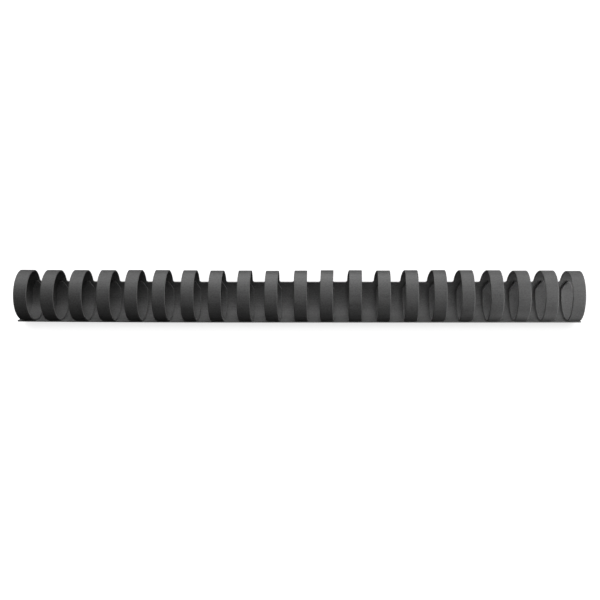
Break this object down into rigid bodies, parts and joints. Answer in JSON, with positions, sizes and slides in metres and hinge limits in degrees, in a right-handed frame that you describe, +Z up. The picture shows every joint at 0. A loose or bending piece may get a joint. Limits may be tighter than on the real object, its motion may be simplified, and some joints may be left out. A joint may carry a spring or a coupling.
{
  "type": "binding comb",
  "caption": "Plastic binding comb: a curved spine with a row of springy ring fingers that uncurl to take punched sheets and curl shut to hold them.",
  "frame": {"origin": "on the rings' common axis, at the middle ring", "axes": "+X along the comb, +Z up with the spine lowest, -Y the front, where the spine's free lip and the finger ends are"},
  "size_m": [0.2955, 0.0266, 0.0267],
  "materials": {
    "pvc": "satin dark grey calendered PVC sheet"
  },
  "bodies": {
    "spine": {"spine": "pvc"},
    "finger_01_base": {"finger_01_base": "pvc"},
    "finger_01_tip": {"finger_01_tip": "pvc"},
    "finger_02_base": {"finger_02_base": "pvc"},
    "finger_02_tip": {"finger_02_tip": "pvc"},
    "finger_03_base": {"finger_03_base": "pvc"},
    "finger_03_tip": {"finger_03_tip": "pvc"},
    "finger_04_base": {"finger_04_base": "pvc"},
    "finger_04_tip": {"finger_04_tip": "pvc"},
    "finger_05_base": {"finger_05_base": "pvc"},
    "finger_05_tip": {"finger_05_tip": "pvc"},
    "finger_06_base": {"finger_06_base": "pvc"},
    "finger_06_tip": {"finger_06_tip": "pvc"},
    "finger_07_base": {"finger_07_base": "pvc"},
    "finger_07_tip": {"finger_07_tip": "pvc"},
    "finger_08_base": {"finger_08_base": "pvc"},
    "finger_08_tip": {"finger_08_tip": "pvc"},
    "finger_09_base": {"finger_09_base": "pvc"},
    "finger_09_tip": {"finger_09_tip": "pvc"},
    "finger_10_base": {"finger_10_base": "pvc"},
    "finger_10_tip": {"finger_10_tip": "pvc"},
    "finger_11_base": {"finger_11_base": "pvc"},
    "finger_11_tip": {"finger_11_tip": "pvc"},
    "finger_12_base": {"finger_12_base": "pvc"},
    "finger_12_tip": {"finger_12_tip": "pvc"},
    "finger_13_base": {"finger_13_base": "pvc"},
    "finger_13_tip": {"finger_13_tip": "pvc"},
    "finger_14_base": {"finger_14_base": "pvc"},
    "finger_14_tip": {"finger_14_tip": "pvc"},
    "finger_15_base": {"finger_15_base": "pvc"},
    "finger_15_tip": {"finger_15_tip": "pvc"},
    "finger_16_base": {"finger_16_base": "pvc"},
    "finger_16_tip": {"finger_16_tip": "pvc"},
    "finger_17_base": {"finger_17_base": "pvc"},
    "finger_17_tip": {"finger_17_tip": "pvc"},
    "finger_18_base": {"finger_18_base": "pvc"},
    "finger_18_tip": {"finger_18_tip": "pvc"},
    "finger_19_base": {"finger_19_base": "pvc"},
    "finger_19_tip": {"finger_19_tip": "pvc"},
    "finger_20_base": {"finger_20_base": "pvc"},
    "finger_20_tip": {"finger_20_tip": "pvc"},
    "finger_21_base": {"finger_21_base": "pvc"},
    "finger_21_tip": {"finger_21_tip": "pvc"}
  },
  "joints": [
    {"name": "finger_01_root", "type": "hinge", "parent": "spine", "child": "finger_01_base", "pos_m": [-0.14288, 0.01333, -0.00357], "axis": [-1, 0, 0], "range_deg": [0, 60], "stiffness_Nm_per_rad": 0.017},
    {"name": "finger_01_crown", "type": "hinge", "parent": "finger_01_base", "child": "finger_01_tip", "pos_m": [-0.14288, -0.00545, 0.01169], "axis": [-1, 0, 0], "range_deg": [0, 39]},
    {"name": "finger_02_root", "type": "hinge", "parent": "spine", "child": "finger_02_base", "pos_m": [-0.12859, 0.01333, -0.00357], "axis": [-1, 0, 0], "range_deg": [0, 60], "stiffness_Nm_per_rad": 0.017},
    {"name": "finger_02_crown", "type": "hinge", "parent": "finger_02_base", "child": "finger_02_tip", "pos_m": [-0.12859, -0.00545, 0.01169], "axis": [-1, 0, 0], "range_deg": [0, 39]},
    {"name": "finger_03_root", "type": "hinge", "parent": "spine", "child": "finger_03_base", "pos_m": [-0.1143, 0.01333, -0.00357], "axis": [-1, 0, 0], "range_deg": [0, 60], "stiffness_Nm_per_rad": 0.017},
    {"name": "finger_03_crown", "type": "hinge", "parent": "finger_03_base", "child": "finger_03_tip", "pos_m": [-0.1143, -0.00545, 0.01169], "axis": [-1, 0, 0], "range_deg": [0, 39]},
    {"name": "finger_04_root", "type": "hinge", "parent": "spine", "child": "finger_04_base", "pos_m": [-0.10001, 0.01333, -0.00357], "axis": [-1, 0, 0], "range_deg": [0, 60], "stiffness_Nm_per_rad": 0.017},
    {"name": "finger_04_crown", "type": "hinge", "parent": "finger_04_base", "child": "finger_04_tip", "pos_m": [-0.10001, -0.00545, 0.01169], "axis": [-1, 0, 0], "range_deg": [0, 39]},
    {"name": "finger_05_root", "type": "hinge", "parent": "spine", "child": "finger_05_base", "pos_m": [-0.08572, 0.01333, -0.00357], "axis": [-1, 0, 0], "range_deg": [0, 60], "stiffness_Nm_per_rad": 0.017},
    {"name": "finger_05_crown", "type": "hinge", "parent": "finger_05_base", "child": "finger_05_tip", "pos_m": [-0.08572, -0.00545, 0.01169], "axis": [-1, 0, 0], "range_deg": [0, 39]},
    {"name": "finger_06_root", "type": "hinge", "parent": "spine", "child": "finger_06_base", "pos_m": [-0.07144, 0.01333, -0.00357], "axis": [-1, 0, 0], "range_deg": [0, 60], "stiffness_Nm_per_rad": 0.017},
    {"name": "finger_06_crown", "type": "hinge", "parent": "finger_06_base", "child": "finger_06_tip", "pos_m": [-0.07144, -0.00545, 0.01169], "axis": [-1, 0, 0], "range_deg": [0, 39]},
    {"name": "finger_07_root", "type": "hinge", "parent": "spine", "child": "finger_07_base", "pos_m": [-0.05715, 0.01333, -0.00357], "axis": [-1, 0, 0], "range_deg": [0, 60], "stiffness_Nm_per_rad": 0.017},
    {"name": "finger_07_crown", "type": "hinge", "parent": "finger_07_base", "child": "finger_07_tip", "pos_m": [-0.05715, -0.00545, 0.01169], "axis": [-1, 0, 0], "range_deg": [0, 39]},
    {"name": "finger_08_root", "type": "hinge", "parent": "spine", "child": "finger_08_base", "pos_m": [-0.04286, 0.01333, -0.00357], "axis": [-1, 0, 0], "range_deg": [0, 60], "stiffness_Nm_per_rad": 0.017},
    {"name": "finger_08_crown", "type": "hinge", "parent": "finger_08_base", "child": "finger_08_tip", "pos_m": [-0.04286, -0.00545, 0.01169], "axis": [-1, 0, 0], "range_deg": [0, 39]},
    {"name": "finger_09_root", "type": "hinge", "parent": "spine", "child": "finger_09_base", "pos_m": [-0.02857, 0.01333, -0.00357], "axis": [-1, 0, 0], "range_deg": [0, 60], "stiffness_Nm_per_rad": 0.017},
    {"name": "finger_09_crown", "type": "hinge", "parent": "finger_09_base", "child": "finger_09_tip", "pos_m": [-0.02857, -0.00545, 0.01169], "axis": [-1, 0, 0], "range_deg": [0, 39]},
    {"name": "finger_10_root", "type": "hinge", "parent": "spine", "child": "finger_10_base", "pos_m": [-0.01429, 0.01333, -0.00357], "axis": [-1, 0, 0], "range_deg": [0, 60], "stiffness_Nm_per_rad": 0.017},
    {"name": "finger_10_crown", "type": "hinge", "parent": "finger_10_base", "child": "finger_10_tip", "pos_m": [-0.01429, -0.00545, 0.01169], "axis": [-1, 0, 0], "range_deg": [0, 39]},
    {"name": "finger_11_root", "type": "hinge", "parent": "spine", "child": "finger_11_base", "pos_m": [0, 0.01333, -0.00357], "axis": [-1, 0, 0], "range_deg": [0, 60], "stiffness_Nm_per_rad": 0.017},
    {"name": "finger_11_crown", "type": "hinge", "parent": "finger_11_base", "child": "finger_11_tip", "pos_m": [0, -0.00545, 0.01169], "axis": [-1, 0, 0], "range_deg": [0, 39]},
    {"name": "finger_12_root", "type": "hinge", "parent": "spine", "child": "finger_12_base", "pos_m": [0.01429, 0.01333, -0.00357], "axis": [-1, 0, 0], "range_deg": [0, 60], "stiffness_Nm_per_rad": 0.017},
    {"name": "finger_12_crown", "type": "hinge", "parent": "finger_12_base", "child": "finger_12_tip", "pos_m": [0.01429, -0.00545, 0.01169], "axis": [-1, 0, 0], "range_deg": [0, 39]},
    {"name": "finger_13_root", "type": "hinge", "parent": "spine", "child": "finger_13_base", "pos_m": [0.02857, 0.01333, -0.00357], "axis": [-1, 0, 0], "range_deg": [0, 60], "stiffness_Nm_per_rad": 0.017},
    {"name": "finger_13_crown", "type": "hinge", "parent": "finger_13_base", "child": "finger_13_tip", "pos_m": [0.02857, -0.00545, 0.01169], "axis": [-1, 0, 0], "range_deg": [0, 39]},
    {"name": "finger_14_root", "type": "hinge", "parent": "spine", "child": "finger_14_base", "pos_m": [0.04286, 0.01333, -0.00357], "axis": [-1, 0, 0], "range_deg": [0, 60], "stiffness_Nm_per_rad": 0.017},
    {"name": "finger_14_crown", "type": "hinge", "parent": "finger_14_base", "child": "finger_14_tip", "pos_m": [0.04286, -0.00545, 0.01169], "axis": [-1, 0, 0], "range_deg": [0, 39]},
    {"name": "finger_15_root", "type": "hinge", "parent": "spine", "child": "finger_15_base", "pos_m": [0.05715, 0.01333, -0.00357], "axis": [-1, 0, 0], "range_deg": [0, 60], "stiffness_Nm_per_rad": 0.017},
    {"name": "finger_15_crown", "type": "hinge", "parent": "finger_15_base", "child": "finger_15_tip", "pos_m": [0.05715, -0.00545, 0.01169], "axis": [-1, 0, 0], "range_deg": [0, 39]},
    {"name": "finger_16_root", "type": "hinge", "parent": "spine", "child": "finger_16_base", "pos_m": [0.07144, 0.01333, -0.00357], "axis": [-1, 0, 0], "range_deg": [0, 60], "stiffness_Nm_per_rad": 0.017},
    {"name": "finger_16_crown", "type": "hinge", "parent": "finger_16_base", "child": "finger_16_tip", "pos_m": [0.07144, -0.00545, 0.01169], "axis": [-1, 0, 0], "range_deg": [0, 39]},
    {"name": "finger_17_root", "type": "hinge", "parent": "spine", "child": "finger_17_base", "pos_m": [0.08572, 0.01333, -0.00357], "axis": [-1, 0, 0], "range_deg": [0, 60], "stiffness_Nm_per_rad": 0.017},
    {"name": "finger_17_crown", "type": "hinge", "parent": "finger_17_base", "child": "finger_17_tip", "pos_m": [0.08572, -0.00545, 0.01169], "axis": [-1, 0, 0], "range_deg": [0, 39]},
    {"name": "finger_18_root", "type": "hinge", "parent": "spine", "child": "finger_18_base", "pos_m": [0.10001, 0.01333, -0.00357], "axis": [-1, 0, 0], "range_deg": [0, 60], "stiffness_Nm_per_rad": 0.017},
    {"name": "finger_18_crown", "type": "hinge", "parent": "finger_18_base", "child": "finger_18_tip", "pos_m": [0.10001, -0.00545, 0.01169], "axis": [-1, 0, 0], "range_deg": [0, 39]},
    {"name": "finger_19_root", "type": "hinge", "parent": "spine", "child": "finger_19_base", "pos_m": [0.1143, 0.01333, -0.00357], "axis": [-1, 0, 0], "range_deg": [0, 60], "stiffness_Nm_per_rad": 0.017},
    {"name": "finger_19_crown", "type": "hinge", "parent": "finger_19_base", "child": "finger_19_tip", "pos_m": [0.1143, -0.00545, 0.01169], "axis": [-1, 0, 0], "range_deg": [0, 39]},
    {"name": "finger_20_root", "type": "hinge", "parent": "spine", "child": "finger_20_base", "pos_m": [0.12859, 0.01333, -0.00357], "axis": [-1, 0, 0], "range_deg": [0, 60], "stiffness_Nm_per_rad": 0.017},
    {"name": "finger_20_crown", "type": "hinge", "parent": "finger_20_base", "child": "finger_20_tip", "pos_m": [0.12859, -0.00545, 0.01169], "axis": [-1, 0, 0], "range_deg": [0, 39]},
    {"name": "finger_21_root", "type": "hinge", "parent": "spine", "child": "finger_21_base", "pos_m": [0.14288, 0.01333, -0.00357], "axis": [-1, 0, 0], "range_deg": [0, 60], "stiffness_Nm_per_rad": 0.017},
    {"name": "finger_21_crown", "type": "hinge", "parent": "finger_21_base", "child": "finger_21_tip", "pos_m": [0.14288, -0.00545, 0.01169], "axis": [-1, 0, 0], "range_deg": [0, 39]}
  ],
  "couplings": [
    {"joint": "finger_01_crown", "follows": "finger_01_root", "ratio": 0.65},
    {"joint": "finger_02_crown", "follows": "finger_02_root", "ratio": 0.65},
    {"joint": "finger_03_crown", "follows": "finger_03_root", "ratio": 0.65},
    {"joint": "finger_04_crown", "follows": "finger_04_root", "ratio": 0.65},
    {"joint": "finger_05_crown", "follows": "finger_05_root", "ratio": 0.65},
    {"joint": "finger_06_crown", "follows": "finger_06_root", "ratio": 0.65},
    {"joint": "finger_07_crown", "follows": "finger_07_root", "ratio": 0.65},
    {"joint": "finger_08_crown", "follows": "finger_08_root", "ratio": 0.65},
    {"joint": "finger_09_crown", "follows": "finger_09_root", "ratio": 0.65},
    {"joint": "finger_10_crown", "follows": "finger_10_root", "ratio": 0.65},
    {"joint": "finger_11_crown", "follows": "finger_11_root", "ratio": 0.65},
    {"joint": "finger_12_crown", "follows": "finger_12_root", "ratio": 0.65},
    {"joint": "finger_13_crown", "follows": "finger_13_root", "ratio": 0.65},
    {"joint": "finger_14_crown", "follows": "finger_14_root", "ratio": 0.65},
    {"joint": "finger_15_crown", "follows": "finger_15_root", "ratio": 0.65},
    {"joint": "finger_16_crown", "follows": "finger_16_root", "ratio": 0.65},
    {"joint": "finger_17_crown", "follows": "finger_17_root", "ratio": 0.65},
    {"joint": "finger_18_crown", "follows": "finger_18_root", "ratio": 0.65},
    {"joint": "finger_19_crown", "follows": "finger_19_root", "ratio": 0.65},
    {"joint": "finger_20_crown", "follows": "finger_20_root", "ratio": 0.65},
    {"joint": "finger_21_crown", "follows": "finger_21_root", "ratio": 0.65}
  ]
}
